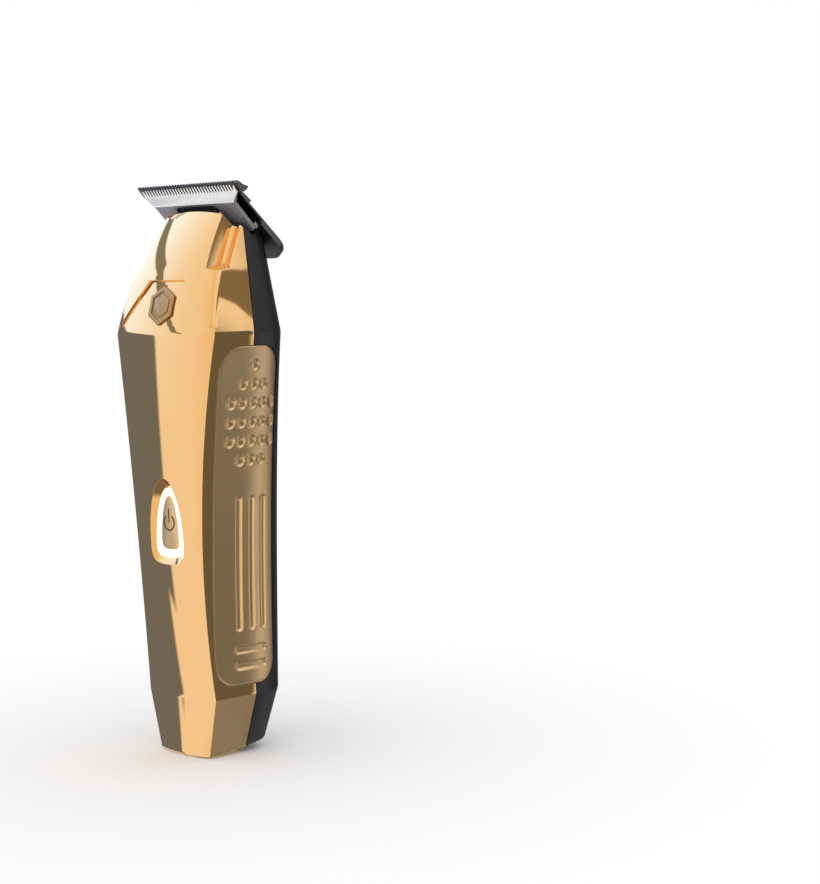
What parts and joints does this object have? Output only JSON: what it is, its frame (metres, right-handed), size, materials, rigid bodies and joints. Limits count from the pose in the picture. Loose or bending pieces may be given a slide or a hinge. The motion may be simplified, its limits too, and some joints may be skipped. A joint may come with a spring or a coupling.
{
  "type": "cordless hair clipper",
  "caption": "Slim cordless T-blade hair clipper with a faceted gold and black housing, side grips, a lit power button and a reciprocating comb blade.",
  "frame": {"origin": "centre of the bounding box at the foot's lowest edge", "axes": "+Z from the foot to the blade teeth, -Y the front with the button, +Y the back with the inlet, +X the right side seen from the front"},
  "size_m": [0.04, 0.0298, 0.14],
  "materials": {
    "gold_chrome": "gold-coloured mirror chrome plating on ABS, lightly scuffed at the edges",
    "tan_satin": "satin tan-gold soft sheen",
    "black_satin": "satin black moulded plastic",
    "black_plastic": "matt black moulded plastic",
    "clear_white": "translucent white, lit from behind",
    "dark_steel": "dark coated ground steel",
    "bright_steel": "bright ground steel",
    "zinc_steel": "zinc-plated steel",
    "brass": "stamped brass and nickel",
    "bronze": "sintered bronze and bronze-toned inlay",
    "copper": "enamelled copper and laminations",
    "board_green": "green solder mask",
    "cell_blue": "heat-shrink sleeve",
    "rubber": "soft foam rubber",
    "ferrite": "sintered ferrite",
    "red_wire": "red insulation",
    "black_wire": "black insulation"
  },
  "bodies": {
    "housing": {"front_shell": "gold_chrome", "rear_shell": "black_satin", "grip_left": "tan_satin", "grip_right": "tan_satin", "chest_badge": "bronze", "rear_badge": "black_plastic", "housing_screw_upper_left": "zinc_steel", "housing_screw_upper_right": "zinc_steel", "housing_screw_lower_left": "zinc_steel", "housing_screw_lower_right": "zinc_steel", "button_light_ring": "clear_white", "switch_body": "zinc_steel", "fixed_blade": "dark_steel", "blade_guide": "black_plastic", "blade_screw_left": "dark_steel", "blade_screw_right": "dark_steel", "tension_spring": "zinc_steel", "motor_can": "zinc_steel", "motor_end_cap": "black_plastic", "motor_magnet_left": "ferrite", "motor_magnet_right": "ferrite", "bearing_upper": "bronze", "bearing_lower": "bronze", "motor_terminal_left": "brass", "motor_terminal_right": "brass", "motor_screw_left": "zinc_steel", "motor_screw_right": "zinc_steel", "motor_plate": "black_plastic", "circuit_board": "board_green", "control_chip": "black_plastic", "inductor": "ferrite", "ring_light_upper": "clear_white", "ring_light_lower": "clear_white", "cell": "cell_blue", "cell_foam": "rubber", "cell_tab_positive": "brass", "cell_tab_negative": "brass", "charging_board": "board_green", "inlet_shell": "zinc_steel", "inlet_tongue": "black_plastic", "charge_light": "clear_white", "light_pipe": "clear_white", "lead_cell_positive": "red_wire", "lead_cell_negative": "black_wire", "lead_motor_positive": "red_wire", "lead_motor_negative": "black_wire"},
    "button": {"power_button": "tan_satin", "switch_plunger": "black_plastic"},
    "cutter": {"moving_blade": "bright_steel", "drive_yoke": "black_plastic"},
    "rotor": {"motor_rotor": "copper", "motor_commutator": "copper", "motor_shaft": "zinc_steel", "eccentric_hub": "black_plastic", "crank_pin": "zinc_steel"}
  },
  "joints": [
    {"name": "button_press", "type": "slide", "parent": "housing", "child": "button", "axis": [0, 1, 0], "range_m": [0, 0.0006], "stiffness_N_per_m": 300},
    {"name": "blade_stroke", "type": "slide", "parent": "housing", "child": "cutter", "axis": [1, 0, 0], "range_m": [-0.00125, 0.00125]},
    {"name": "motor_spin", "type": "hinge", "parent": "housing", "child": "rotor", "pos_m": [0, 0.002, 0.095], "axis": [0, 0, 1], "continuous": true}
  ]
}
